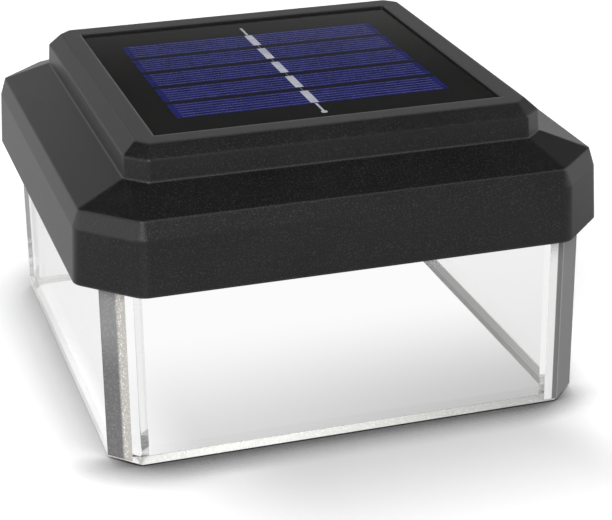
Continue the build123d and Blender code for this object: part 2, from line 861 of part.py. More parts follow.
for side_name, side_turn in sides.items():
    bar_part = light_bar(side_turn)
    bar_part.label = "light_bar_" + side_name
    export_step(bar_part, "parts/light_bar_" + side_name + ".step")
    lamp_part = led_row(side_turn)
    lamp_part.label = "leds_" + side_name
    export_step(lamp_part, "parts/leds_" + side_name + ".step")

# ---------------------------------------------------------------- wires inside the cap
pcb_back = pcb_y + pcb_depth / 2
pcb_front = pcb_y - pcb_depth / 2
pcb_middle = (pcb_top + pcb_bottom) / 2
pad_y = pcb_back - pcb_screw_inset
panel_wire_level = pcb_top + panel_wire_rise
panel_leads = wire(
    (0, 0, board_bottom),
    (0, 0, panel_wire_level),
    (0, pad_y, panel_wire_level),
    (0, pad_y, pcb_top),
    radius=twin_radius,
)
panel_leads.label = "panel_leads"

tail_middle = tail_bottom + contact_thickness / 2
battery_wires = []
for side in (-1, 1):
    wire_x = side * (tail_end_x - tail_reach / 2)
    battery_wires.append(
        wire(
            (wire_x, bay_y - tail_width / 2, tail_middle),
            (wire_x, battery_wire_bend_y, tail_middle),
            (side * battery_pad_x, pad_y, tail_middle),
            (side * battery_pad_x, pad_y, pcb_top),
        )
    )
battery_leads = Compound(battery_wires, label="battery_leads")

bar_top = tray_top + bar_thickness
front_lead = wire(
    (0, pcb_front, pcb_middle),
    (0, -wall_centre, pcb_middle),
    (0, -wall_centre, bar_top),
    radius=twin_radius,
    bend=short_wire_bend,
)
# a lead from each light bar to the next, round three corners of the cap
link = wire(
    (link_start, -wall_centre, bar_top),
    (link_start, -wall_centre, bar_top + wire_rise),
    (wall_centre, -link_start, bar_top + wire_rise),
    (wall_centre, -link_start, bar_top),
    radius=twin_radius,
)
links = [link.rotate(Axis.Z, turn) for turn in (0, 90, 180)]
led_leads = Compound([front_lead, *links], label="led_leads")

# ---------------------------------------------------------------- files
for piece in (
    clear_base.part,
    top_housing.part,
    panel_sealant.part,
    panel_board.part,
    solar_cells.part,
    cell_tabs.part,
    panel_cover.part,
    bottom_tray.part,
    housing_gasket.part,
    tray_screws.part,
    rechargeable_cell.part,
    contact_positive,
    contact_negative,
    battery_door.part,
    door_hinge_pin.part,
    circuit_board.part,
    board_screws.part,
    board_components.part,
    switch_body.part,
    switch_slider.part,
    panel_leads,
    battery_leads,
    led_leads,
):
    export_step(piece, "parts/" + piece.label + ".step")
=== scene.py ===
import math

import bmesh
import bpy
from mathutils import Matrix, Vector, noise


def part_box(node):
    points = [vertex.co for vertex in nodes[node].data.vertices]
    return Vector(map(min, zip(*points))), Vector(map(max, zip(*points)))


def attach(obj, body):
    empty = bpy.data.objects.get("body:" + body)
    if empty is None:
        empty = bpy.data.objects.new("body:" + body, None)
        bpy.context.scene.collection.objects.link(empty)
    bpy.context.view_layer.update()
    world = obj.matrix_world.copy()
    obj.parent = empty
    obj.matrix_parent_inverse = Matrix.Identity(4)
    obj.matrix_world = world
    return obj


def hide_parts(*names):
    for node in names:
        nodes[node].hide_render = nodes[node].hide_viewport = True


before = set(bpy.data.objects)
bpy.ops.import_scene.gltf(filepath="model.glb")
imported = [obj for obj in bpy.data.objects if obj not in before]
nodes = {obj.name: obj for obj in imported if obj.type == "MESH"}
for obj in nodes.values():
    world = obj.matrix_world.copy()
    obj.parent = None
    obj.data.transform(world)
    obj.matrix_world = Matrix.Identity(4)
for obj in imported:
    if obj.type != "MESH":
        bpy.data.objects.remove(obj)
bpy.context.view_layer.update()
mm = 0.001
print("frame loaded:", len(nodes), "CAD nodes")


def addObject(name, data):
    made = bpy.data.objects.new(name, data)
    bpy.context.scene.collection.objects.link(made)
    return made


# camera: the photograph's own, fitted from the cap's corners
photoCamera = {
    "place": (-0.1322, -0.4471, 0.2215),
    "heading": -16.72,  # degrees, turned right from +Y
    "pitch": -23.19,
    "roll": -0.775,
    "lens": 112.4,
    "shift": (0.0258, -0.0036),  # the photo is cropped off-centre
}


def makeCamera(view):
    cameraData = bpy.data.cameras.new("photoCamera")
    cameraData.lens = view["lens"]
    cameraData.sensor_width = 36.0
    cameraData.shift_x, cameraData.shift_y = view["shift"]
    cameraData.clip_start = 0.01
    cameraObject = addObject("photoCamera", cameraData)
    turn = Matrix.Rotation(math.radians(view["heading"]), 4, "Z")
    tilt = Matrix.Rotation(math.radians(90 + view["pitch"]), 4, "X")
    roll = Matrix.Rotation(math.radians(view["roll"]), 4, "Z")
    cameraObject.matrix_world = Matrix.Translation(view["place"]) @ turn @ tilt @ roll
    bpy.context.scene.camera = cameraObject


makeCamera(photoCamera)
bpy.context.scene.view_settings.view_transform = "Standard"
print("camera placed")


# short hands for building node trees
def newMaterial(name):
    material = bpy.data.materials.new(name)
    material.use_nodes = True
    material.node_tree.nodes.clear()
    return material, material.node_tree


def setInput(tree, node, key, value):
    if isinstance(value, bpy.types.NodeSocket):
        tree.links.new(value, node.inputs[key])
    else:
        node.inputs[key].default_value = value


def addNode(tree, kind, inputs=None, **settings):
    node = tree.nodes.new("ShaderNode" + kind)
    for key, value in settings.items():
        setattr(node, key, value)
    for key, value in (inputs or {}).items():
        setInput(tree, node, key, value)
    return node


def mathNode(tree, operation, first, second=0.0, third=0.0, clamp=False):
    node = addNode(tree, "Math", {0: first, 1: second, 2: third}, operation=operation, use_clamp=clamp)
    return node.outputs[0]


def times(tree, first, second):
    return mathNode(tree, "MULTIPLY", first, second)


def between(tree, factor, first, second):
    # the first at 0, the second at 1
    return mathNode(tree, "MULTIPLY_ADD", factor, mathNode(tree, "SUBTRACT", second, first), first)


def rgba(colour):
    return (*colour[:3], 1.0)


def mixColour(tree, factor, first, second, blend="MIX"):
    node = addNode(tree, "Mix", data_type="RGBA", blend_type=blend)
    setInput(tree, node, 0, factor)
    for index, value in ((6, first), (7, second)):
        setInput(tree, node, index, value if isinstance(value, bpy.types.NodeSocket) else rgba(value))
    return node.outputs[2]


def ramp(tree, value, low, high):
    node = addNode(tree, "MapRange", {0: value, 1: low, 2: high}, interpolation_type="SMOOTHSTEP")
    return node.outputs[0]


def span(tree, value, low, high):
    return addNode(tree, "MapRange", {0: value, 3: low, 4: high}).outputs[0]


def here(tree):
    return addNode(tree, "TexCoord").outputs["Object"]


def hereXyz(tree):
    return addNode(tree, "SeparateXYZ", {0: here(tree)}).outputs


def noiseAt(tree, scale, detail):
    return addNode(tree, "TexNoise", {"Vector": here(tree), "Scale": scale, "Detail": detail}).outputs["Fac"]


def bumpOf(tree, height, strength, distance, normal=None):
    node = addNode(tree, "Bump", {"Height": height, "Strength": strength, "Distance": distance})
    if normal is not None:
        setInput(tree, node, "Normal", normal)
    return node.outputs[0]


def mixShader(tree, factor, first, second):
    return addNode(tree, "MixShader", {0: factor, 1: first.outputs[0], 2: second.outputs[0]})


def showSurface(tree, shader):
    addNode(tree, "OutputMaterial", {"Surface": shader.outputs[0]})


def principled(tree, inputs):
    showSurface(tree, addNode(tree, "BsdfPrincipled", inputs))


def newGroup(name, inputs, outputs):
    group = bpy.data.node_groups.new(name, "ShaderNodeTree")
    for socketName, default in inputs.items():
        socket = group.interface.new_socket(socketName, in_out="INPUT", socket_type="NodeSocketFloat")
        socket.default_value = default
    for socketName in outputs:
        kind = "NodeSocketVector" if socketName == "Normal" else "NodeSocketFloat"
        group.interface.new_socket(socketName, in_out="OUTPUT", socket_type=kind)
    given = group.nodes.new("NodeGroupInput")
    result = group.nodes.new("NodeGroupOutput")
    return group, given.outputs, result.inputs


def placeGroup(tree, group, **inputs):
    node = tree.nodes.new("ShaderNodeGroup")
    node.node_tree = group
    for key, value in inputs.items():
        setInput(tree, node, key, value)
    return node.outputs


# shared effects, each a group with its own values per material
def buildMouldGrain():
    # fine spark-eroded grain with a faint speckle
    group, given, result = newGroup("mouldGrain", {"Size": 0.25}, ("Height", "Tone"))
    perMetre = mathNode(group, "DIVIDE", 1000.0, given["Size"])
    cells = addNode(group, "TexVoronoi", {"Vector": here(group), "Scale": perMetre}, feature="SMOOTH_F1")
    cloud = noiseAt(group, perMetre, 2.0)
    broad = noiseAt(group, 60.0, 3.0)
    group.links.new(mathNode(group, "ADD", cells.outputs["Distance"], cloud), result["Height"])
    spark = ramp(group, cloud, 0.52, 0.72)
    tone = mathNode(group, "MULTIPLY_ADD", broad, 0.3, spark, clamp=True)
    group.links.new(tone, result["Tone"])
    return group


def buildSoftEdges():
    # a rounded normal along sharp edges, and a mask of where it rounds
    group, given, result = newGroup("softEdges", {"Radius": 0.0005}, ("Normal", "Mask"))
    rounded = addNode(group, "Bevel", {"Radius": given["Radius"]}, samples=6)
    flat = addNode(group, "NewGeometry").outputs["Normal"]
    facing = addNode(group, "VectorMath", {0: rounded.outputs["Normal"], 1: flat}, operation="DOT_PRODUCT")
    mask = ramp(group, facing.outputs["Value"], 0.995, 0.85)
    group.links.new(rounded.outputs["Normal"], result["Normal"])
    group.links.new(mask, result["Mask"])
    return group


def buildHammer():
    # the pebbled texture moulded into the clear base's corners and foot
    group, given, result = newGroup("hammered", {"Size": 0.8}, ("Height", "Glint"))
    perMetre = mathNode(group, "DIVIDE", 1000.0, given["Size"])
    pebble = addNode(group, "TexVoronoi", {"Vector": here(group), "Scale": perMetre}, feature="SMOOTH_F1")
    ripple = noiseAt(group, perMetre, 5.0)
    height = mathNode(group, "MULTIPLY_ADD", ripple, 0.8, pebble.outputs["Distance"])
    group.links.new(height, result["Height"])
    group.links.new(ramp(group, ripple, 0.48, 0.66), result["Glint"])
    return group


def buildDust():
    # a little dust that settles on what faces up
    group, given, result = newGroup("settledDust", {"Amount": 0.1}, ("Mask",))
    inputs = {"Vector": here(group), "Scale": 90.0, "Detail": 8.0, "Roughness": 0.75}
    cloud = addNode(group, "TexNoise", inputs).outputs["Fac"]
    normal = addNode(group, "NewGeometry").outputs["Normal"]
    upward = addNode(group, "SeparateXYZ", {0: normal}).outputs["Z"]
    patch = times(group, ramp(group, cloud, 0.5, 0.8), mathNode(group, "MAXIMUM", upward, 0.0))
    group.links.new(times(group, patch, given["Amount"]), result["Mask"])
    return group


def buildBrushed():
    # drawing or plating marks along X, with cloudy stain
    group, given, result = newGroup("brushed", {"Length": 30.0, "Fineness": 4000.0}, ("Height", "Stain"))
    stretch = addNode(group, "CombineXYZ", {0: given["Length"], 1: given["Fineness"], 2: given["Fineness"]})
    drawn = addNode(group, "VectorMath", {0: here(group), 1: stretch.outputs[0]}, operation="MULTIPLY")
    marks = addNode(group, "TexNoise", {"Vector": drawn.outputs[0], "Scale": 1.0, "Detail": 3.0})
    group.links.new(marks.outputs["Fac"], result["Height"])
    group.links.new(ramp(group, noiseAt(group, 260.0, 5.0), 0.35, 0.75), result["Stain"])
    return group


mouldGrain = buildMouldGrain()
softEdges = buildSoftEdges()
hammered = buildHammer()
settledDust = buildDust()
brushed = buildBrushed()
print("shared effects built")


# studio: a pale floor, a pale room near the horizon and a dark ceiling
studio = {
    "floorSize": 6.0,
    "floorDrop": 0.0002,
    "floorPaper": 0.62,  # how pale it is to light, and how pale it is shown
    "floorShown": 1.45,
    "contactReach": 0.016,
    "contactFront": 3.5,
    "contactAhead": (-0.050, -0.060),  # from which y to which y it deepens
    "contactRight": (0.048, 0.064),
    "contactRightShare": 0.35,
    "shadeFrom": 0.0596,  # the broad shade in front of the object
    "shadeReach": 0.080,
    "shadeDepth": 0.58,
    "shadeSpread": 0.34,
    "shadeStart": (-0.004, 0.0),
    "shadeRight": (0.070, 0.035),
    "shadeLeft": (-0.075, -0.012),
    "mirroredBack": 0.80,  # the paper as the object's own gloss shows it
    "mirroredFront": 0.40,
    "mirroredLeft": 0.77,
    "mirroredFoot": 1.45,
    "mirrorDepth": (-0.03, 0.06),
    "mirrorLeftNear": (-0.056, -0.062),
    "mirrorLeftFar": (-0.13, -0.10),
    "mirrorFoot": (-0.0665, -0.0605),
    "mirrorFootAlong": (0.035, -0.015),
    "mirrorFootShare": 0.3,
    "beyond": 0.93,  # what shows through the walls from outside them
    "insideHalf": 0.0532,
    "insideFront": 0.68,
    "insideRight": 0.76,  # share left towards the right-hand wall
    "insideDepth": (0.012, -0.062),
    "insideLeft": (-0.056, -0.035),
    "insideAcross": (-0.045, 0.06),
    "ambient": 0.45,
    "horizon": 0.95,
    "horizonFront": 0.33,
    "horizonLeft": 0.54,  # shares of the horizon: to the left, and beyond it
    "horizonBeside": 1.9,
    "towardsFront": (-0.35, -0.85),  # directions between which they set in
    "towardsLeft": (-0.12, -0.35),
    "besideLeft": (-0.60, -0.90),
    "ceiling": 0.060,
    "ceilingBand": (0.16, 0.31),  # sines of elevation between which reflections go dark
    "ceilingLeft": 0.14,  # how much higher it starts on the left
    "ceilingLeftBand": (0.10, -0.12),
}


def makeFloor(look):
    floorMesh = bpy.data.meshes.new("studioFloor")
    half = look["floorSize"] / 2
    corners = [(-half, -half, 0), (half, -half, 0), (half, half, 0), (-half, half, 0)]
    floorMesh.from_pydata(corners, [], [(0, 1, 2, 3)])
    floor = addObject("studioFloor", floorMesh)
    floor.location.z = -look["floorDrop"]
    material, tree = newMaterial("studioPaper")
    path = addNode(tree, "LightPath").outputs
    x, y = hereXyz(tree)[:2]
    # painted contact shadow: the paper darkens where the object stands close to it, most in front
    contact = addNode(tree, "AmbientOcclusion", {"Distance": look["contactReach"]}, samples=8)
    aside = span(tree, ramp(tree, x, *look["contactRight"]), 1.0, look["contactRightShare"])
    ahead = times(tree, ramp(tree, y, *look["contactAhead"]), aside)
    power = span(tree, ahead, 1.0, look["contactFront"])
    close = mathNode(tree, "POWER", contact.outputs["AO"], power)
    # a broad shade in front, spreading a little to the right
    distance = mathNode(tree, "MULTIPLY_ADD", y, -1.0, -look["shadeFrom"])
    shade = addNode(tree, "MapRange", {0: distance, 1: 0.0, 2: look["shadeReach"], 3: 1.0, 4: 0.0}).outputs[0]
    spread = times(tree, mathNode(tree, "MAXIMUM", distance, 0.0), look["shadeSpread"])
    ends = ramp(tree, mathNode(tree, "SUBTRACT", x, spread), *look["shadeRight"])
    ends = times(tree, ends, ramp(tree, x, *look["shadeLeft"]))
    ends = times(tree, ends, ramp(tree, distance, *look["shadeStart"]))
    shade = span(tree, times(tree, shade, ends), 1.0, 1.0 - look["shadeDepth"])
    shown = times(tree, mathNode(tree, "MINIMUM", close, shade), look["floorShown"])
    paper = addNode(tree, "BsdfDiffuse", {
        "Color": between(tree, path["Is Camera Ray"], look["floorPaper"], shown),
    })
    # mirrored in the left wall it is paler, most of all by the wall's foot
    sheen = span(tree, ramp(tree, y, *look["mirrorDepth"]), look["mirroredFront"], look["mirroredBack"])
    besideWall = ramp(tree, x, *look["mirrorLeftNear"])
    alongLeft = times(tree, besideWall, ramp(tree, x, *look["mirrorLeftFar"]))
    footShare = span(tree, ramp(tree, y, *look["mirrorFootAlong"]), look["mirrorFootShare"], 1.0)
    atFoot = times(tree, ramp(tree, x, *look["mirrorFoot"]), footShare)
    leftSheen = span(tree, atFoot, look["mirroredLeft"], look["mirroredFoot"])
    sheen = addNode(tree, "Emission", {"Strength": between(tree, alongLeft, sheen, leftSheen)})
    paper = mixShader(tree, path["Is Glossy Ray"], paper, sheen)
    # through the clear walls it shades off towards the front and the right
    front = times(tree, ramp(tree, y, *look["insideDepth"]), ramp(tree, x, *look["insideLeft"]))
    slope = times(tree, front, ramp(tree, x, *look["insideAcross"]))
    inside = span(tree, front, 1.0, look["insideFront"])
    inside = times(tree, inside, span(tree, slope, 1.0, look["insideRight"]))
    farthest = mathNode(tree, "MAXIMUM", mathNode(tree, "ABSOLUTE", x), mathNode(tree, "ABSOLUTE", y))
    within = mathNode(tree, "LESS_THAN", farthest, look["insideHalf"])
    glow = addNode(tree, "Emission", {
        "Color": (1, 1, 1, 1), "Strength": between(tree, within, look["beyond"], inside),
    })
    both = mixShader(tree, path["Is Transmission Ray"], paper, glow)
    # seen from below it is clear, so the underside can be looked at
    under = addNode(tree, "NewGeometry").outputs["Backfacing"]
    showSurface(tree, mixShader(tree, under, both, addNode(tree, "BsdfTransparent")))
    floorMesh.materials.append(material)


def makeRoom(look):
    world = bpy.data.worlds.new("studioRoom")
    bpy.context.scene.world = world
    world.use_nodes = True
    tree = world.node_tree
    tree.nodes.clear()
    path = addNode(tree, "LightPath").outputs
    direction = addNode(tree, "TexCoord").outputs["Generated"]
    aside, ahead, height = addNode(tree, "SeparateXYZ", {0: direction}).outputs
    leftward = ramp(tree, aside, *look["ceilingLeftBand"])
    reach = mathNode(tree, "MULTIPLY_ADD", leftward, -look["ceilingLeft"], height)
    dark = ramp(tree, reach, *look["ceilingBand"])
    facing = ramp(tree, ahead, *look["towardsFront"])
    horizon = span(tree, facing, look["horizon"], look["horizonFront"])
    aslant = span(tree, ramp(tree, aside, *look["towardsLeft"]), 1.0, look["horizonLeft"])
    beside = ramp(tree, aside, *look["besideLeft"])
    horizon = times(tree, horizon, between(tree, beside, aslant, look["horizonBeside"]))
    mirrored = between(tree, dark, horizon, look["ceiling"])
    through = span(tree, dark, look["beyond"], look["ceiling"])
    level = between(tree, path["Is Glossy Ray"], look["ambient"], mirrored)
    level = between(tree, path["Is Transmission Ray"], level, through)
    level = mathNode(tree, "MAXIMUM", level, path["Is Camera Ray"])
    background = addNode(tree, "Background", {"Color": (1, 1, 1, 1), "Strength": level})
    addNode(tree, "OutputWorld", {"Surface": background.outputs[0]})


lamps = {
    "frontKey": {"place": (-0.55, -1.15, 0.85), "size": 0.9, "watts": 17.0},
    "rightFill": {"place": (1.25, -0.35, 0.75), "size": 0.7, "watts": 5.0},
}
lampAim = (0, 0, 0.03)


def makeLamps(settings):
    for name, lamp in settings.items():
        light = bpy.data.lights.new(name, "AREA")
        light.shape = "SQUARE"
        light.size = lamp["size"]
        light.energy = lamp["watts"]
        lampObject = addObject(name, light)
        lampObject.location = lamp["place"]
        aim = Vector(lampAim) - Vector(lamp["place"])
        lampObject.rotation_euler = aim.to_track_quat("-Z", "Y").to_euler()


makeFloor(studio)
makeRoom(studio)
makeLamps(lamps)
print("studio lit")


def dress(material, *nodeNames):
    for nodeName in nodeNames:
        mesh = nodes[nodeName].data
        mesh.materials.clear()
        mesh.materials.append(material)


# black moulded plastic: the cap, and the tray and door under it
housingFinish = {
    "colour": (0.0036, 0.0036, 0.0038),
    "speck": (0.022, 0.022, 0.023),
    # painted highlight: the colour the sharp edges are painted
    "edge": (0.060, 0.060, 0.061),
    "roughness": 0.40,
    "grainSize": 0.34,
    "grainDepth": 0.00002,
    "edgeRadius": 0.0009,
    "edgeHighlight": 0.8,
    "dust": 0.015,
    "dustColour": (0.5, 0.48, 0.45),
    # painted sheen on the flat top of the rim: the heights it spans, and how pale
    "sheenFrom": 75.25 * mm,
    "sheenTo": 75.45 * mm,
    "topSheen": 0.032,
}
trayFinish = dict(housingFinish, roughness=0.34, grainSize=0.5, grainDepth=0.000008, edgeRadius=0.0003)
switchFinish = dict(trayFinish, roughness=0.28, grainSize=0.7)
# the knob's edge colour is its painted highlight
knobFinish = dict(trayFinish, colour=(0.42, 0.42, 0.41), speck=(0.52, 0.52, 0.5), edge=(0.5, 0.5, 0.48))


def mouldedPlastic(name, look):
    material, tree = newMaterial(name)
    grain = placeGroup(tree, mouldGrain, Size=look["grainSize"])
    edges = placeGroup(tree, softEdges, Radius=look["edgeRadius"])
    dust = placeGroup(tree, settledDust, Amount=look["dust"])
    colour = mixColour(tree, grain["Tone"], look["colour"], look["speck"])
    # painted highlight: the sharp edges are painted lighter
    colour = mixColour(tree, times(tree, edges["Mask"], look["edgeHighlight"]), colour, look["edge"])
    colour = mixColour(tree, dust["Mask"], colour, look["dustColour"])
    # painted sheen: the flat top of the rim is painted paler, in patches
    onTop = ramp(tree, hereXyz(tree)["Z"], look["sheenFrom"], look["sheenTo"])
    patchy = span(tree, grain["Tone"], 0.7 * look["topSheen"], 1.5 * look["topSheen"])
    colour = mixColour(tree, times(tree, onTop, patchy), colour, (1.0, 1.0, 1.0))
    roughness = span(tree, grain["Tone"], look["roughness"] - 0.03, look["roughness"] + 0.07)
    normal = bumpOf(tree, grain["Height"], 0.6, look["grainDepth"], edges["Normal"])
    principled(tree, {"Base Color": colour, "Roughness": roughness, "Normal": normal, "IOR": 1.5})
    return material


dress(mouldedPlastic("blackHousing", housingFinish), "top_housing")
dress(mouldedPlastic("blackTray", trayFinish), "bottom_tray", "battery_door")
dress(mouldedPlastic("blackSwitch", switchFinish), "switch_body")
dress(mouldedPlastic("greyKnob", knobFinish), "switch_slider")
print("black plastic done")


# clear parts: lamps shine through them, so shadow rays pass
wallFinish = {
    "colour": (0.985, 0.99, 0.985),
    "worn": (0.95, 0.955, 0.95),
    "shadow": (0.86, 0.86, 0.86),
    "ior": 1.49,
    "ripple": 0.00005,
    "rimBand": (0.6 * mm, 0.2 * mm),
    "rimRough": 0.25,
}
coverFinish = {
    "colour": (0.97, 0.98, 0.97),
    "shadow": (0.92, 0.93, 0.92),
    "ior": 1.5,
    "wave": 0.00002,
    "roughness": 0.012,
    "dust": 0.01,
    "sunk": 0.03 * mm,  # the resin wets the board, with no air under it
    "meniscus": 0.25 * mm,  # how far its edge rounds inwards, and how far down
    "meniscusDrop": 0.15 * mm,
}


def letLampsThrough(tree, surface, shadow):
    path = addNode(tree, "LightPath").outputs
    through = addNode(tree, "BsdfTransparent", {"Color": rgba(shadow)})
    showSurface(tree, mixShader(tree, path["Is Shadow Ray"], surface, through))


def clearWalls(look):
    material, tree = newMaterial("clearWalls")
    onRim = ramp(tree, hereXyz(tree)["Z"], *look["rimBand"])
    edges = placeGroup(tree, softEdges, Radius=0.3 * mm)
    surface = addNode(tree, "BsdfPrincipled", {
        "Base Color": mixColour(tree, edges["Mask"], look["colour"], look["worn"]),
        "Roughness": times(tree, onRim, look["rimRough"]),
        "Normal": bumpOf(tree, noiseAt(tree, 40.0, 1.0), 0.2, look["ripple"]),
        "IOR": look["ior"], "Transmission Weight": 1.0,
    })
    letLampsThrough(tree, surface, look["shadow"])
    return material


def clearCover(look):
    material, tree = newMaterial("panelGloss")
    dust = placeGroup(tree, settledDust, Amount=look["dust"])
    surface = addNode(tree, "BsdfPrincipled", {
        "Base Color": rgba(look["colour"]),
        "Roughness": mathNode(tree, "ADD", dust["Mask"], look["roughness"]),
        "Normal": bumpOf(tree, noiseAt(tree, 70.0, 2.0), 0.2, look["wave"]),
        "IOR": look["ior"], "Transmission Weight": 1.0,
    })
    letLampsThrough(tree, surface, look["shadow"])
    return material


dress(clearWalls(wallFinish), "clear_base")


def addPiece(name, bm, body, material, smooth=False):
    mesh = bpy.data.meshes.new(name)
    bmesh.ops.recalc_face_normals(bm, faces=bm.faces)
    for face in bm.faces:
        face.smooth = smooth
    bm.to_mesh(mesh)
    bm.free()
    mesh.materials.append(material)
    piece = addObject(name, mesh)
    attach(piece, body)
    return piece


# the moulded texture: stripes up each cut corner, pebbles and ribs along the foot; in their colours are also
# painted light, glints, sparkle and shade, and a painted dark reflection beside two of the cuts
cornerSkin = {
    "cut": 6.6 * mm,
    "ends": ((-6.6 * mm, 3.3 * mm), (-6.6 * mm, 6.6 * mm)),  # across the cut, by turns
    "border": 3.3 * mm,  # on the flat beside every second cut, where a dark reflection is painted
    "middle": 0.1 * mm,  # where the dark stripe meets the light one
    "deepens": 1.2 * mm,
    "shallow": 0.25,  # depth of the texture outside the light stripe
    "foot": 0.7 * mm,
    "stand": 0.03 * mm,
    "step": 0.24 * mm,
    "pebble": 0.48 * mm,
    "depth": 0.12 * mm,
    "dark": (0.145, 0.142, 0.146),
    "darkSpeck": (0.235, 0.23, 0.235),
    "specks": 0.8,
    "paleBand": (21 * mm, 36 * mm),  # heights between which the dark stripe pales
    "pale": (0.8, 0.8, 0.8),
    "paleShare": 0.16,
    # the beaten half: painted light, with painted glints
    "light": (0.50, 0.48, 0.45),
    "lightBand": (-0.8 * mm, 0.6 * mm),
    "glint": (0.93, 0.91, 0.86),
    "glintBand": (0.7 * mm, 2.5 * mm),  # the painted glints fade towards its edge
    "glintLeft": 0.35,
    "line": (0.36, 0.36, 0.36),
    "lineBand": (-5.7 * mm, -6.1 * mm),
    "flank": (0.232, 0.230, 0.232),
    "streaks": 0.4,
    # painted dark reflection on the flat beside the plain cuts
    "flat": (0.165, 0.163, 0.165),
    "frosted": (0.76, 0.76, 0.755),
    "frostBand": (-7.8 * mm, -8.0 * mm),
}
footSkin = {
    "width": 6.6 * mm,
    "facingWidth": 3.3 * mm,  # front and back, where it slopes up inwards
    "rise": 1.0 * mm,
    "outer": 0.35 * mm,  # from the outer face of the wall
    "up": 0.08 * mm,  # inside the clear wall, just over its foot
    "step": 0.26 * mm,
    "pebble": 0.5 * mm,
    "depth": 0.16 * mm,
    # painted sparkle: glinting pebbles painted light, hollows painted dark as shade
    "pebbleGlint": (1.0, 0.99, 0.97),
    "hollowShade": (0.76, 0.75, 0.73),
    "leftShade": 1.14,  # its tone at the left-hand end and at the right-hand one
    "rightShade": 0.55,
    "shadeBand": (-0.035, 0.052),
    # painted shade: the troughs between the ribs are painted darker
    "ribs": (0.56, 0.555, 0.55),
    "grooves": (0.33, 0.325, 0.325),
    "ribPitch": 1.5 * mm,
    "ribDepth": 0.064 * mm,
    "cornerBand": (0.036, 0.046),  # the ribs give way to pebbles near the corners
    "cornerShare": 0.8,
    "shine": 0.8,
}
bandSkin = {
    "wall": 7.0 * mm,
    "sunk": 0.3 * mm,  # behind the inner face of the wall
    "thickness": 0.05 * mm,
    "ends": 0.4 * mm,
    "from": 0.3 * mm,
    "height": 4.4 * mm,
    "linedBand": (1.6 * mm, 2.2 * mm),  # plain under it, lined above it
    "linePitch": 1.0 * mm,
    "step": 0.26 * mm,
    "pebble": 0.5 * mm,
    "depth": 0.12 * mm,
    "plain": (0.47, 0.465, 0.465),
    "line": (0.78, 0.775, 0.77),
    "groove": (0.36, 0.355, 0.355),
    "specks": 0.2,
}


def pebbleHeight(point, size):
    nearest = noise.voronoi(point / size)[0][0]
    return 1.0 - min(nearest, 1.0) + 0.35 * noise.noise(point * 2.3 / size)


def quarterTurns(count):
    return Matrix.Rotation(math.radians(90 * count), 3, "Z")


def flatBehind(start, outward, depth=0.0):
    # where a point of a skin meets the flat back of its plate
    return lambda point: point - outward * ((point - start).dot(outward) + depth)


def addSkin(bm, start, across, upward, step, lift, back, keep=lambda point: True):
    # a thin plate: small faces, each corner lifted along the normal, over a flat back
    normal = across.cross(upward).normalized()
    countAcross, countUp = round(across.length / step), round(upward.length / step)
    grid = []
    for j in range(countUp + 1):
        row = []
        for i in range(countAcross + 1):
            point = start + across * (i / countAcross) + upward * (j / countUp)
            row.append(bm.verts.new(point + normal * lift(point)) if keep(point) else None)
        grid.append(row)
    front = []
    for under, over in zip(grid, grid[1:]):
        for i in range(countAcross):
            corners = (under[i], under[i + 1], over[i + 1], over[i])
            if all(corners):
                front.append(bm.faces.new(corners))
    # walk round the open edge and close the plate behind it
    following = {}
    for face in front:
        for loop in face.loops:
            if loop.edge.is_boundary:
                following[loop.vert] = loop.link_loop_next.vert
    ring = [next(iter(following))]
    while following[ring[-1]] is not ring[0]:
        ring.append(following[ring[-1]])
    behind = [bm.verts.new(back(vertex.co)) for vertex in ring]
    for k, vertex in enumerate(ring):
        after = (k + 1) % len(ring)
        bm.faces.new((vertex, behind[k], behind[after], ring[after]))
    bm.faces.new(behind)
    for vertex in [vertex for row in grid for vertex in row if vertex and not vertex.link_faces]:
        bm.verts.remove(vertex)


skinFinish = {"coarse": 0.42, "fine": 0.5, "dull": 0.62, "shiny": 0.22, "relief": 0.00005, "ior": 1.49}


def skinMaterial(name, tint, seenFrom=0):
    # tint gives the colour and how much it glints, from the place on the surface
    # seenFrom is 1 if it shows from outside the base only, -1 if from inside only
    material, tree = newMaterial(name)
    hammer = placeGroup(tree, hammered, Size=skinFinish["coarse"])
    sand = placeGroup(tree, hammered, Size=skinFinish["fine"])
    colour, shine = tint(tree, hammer, sand)
    surface = addNode(tree, "BsdfPrincipled", {
        "Base Color": colour, "Roughness": span(tree, shine, skinFinish["dull"], skinFinish["shiny"]),
        "Normal": bumpOf(tree, hammer["Height"], 0.7, skinFinish["relief"]), "IOR": skinFinish["ior"],
    })
    if seenFrom:
        geometry = addNode(tree, "NewGeometry").outputs
        outward = addNode(tree, "VectorMath", {0: geometry["Normal"], 1: here(tree)}, operation="DOT_PRODUCT")
        away = mathNode(tree, "LESS_THAN", times(tree, outward.outputs["Value"], seenFrom), 0.0)
        hidden = mathNode(tree, "MAXIMUM", geometry["Backfacing"], away)
        surface = mixShader(tree, hidden, surface, addNode(tree, "BsdfTransparent"))
    showSurface(tree, surface)
    return material


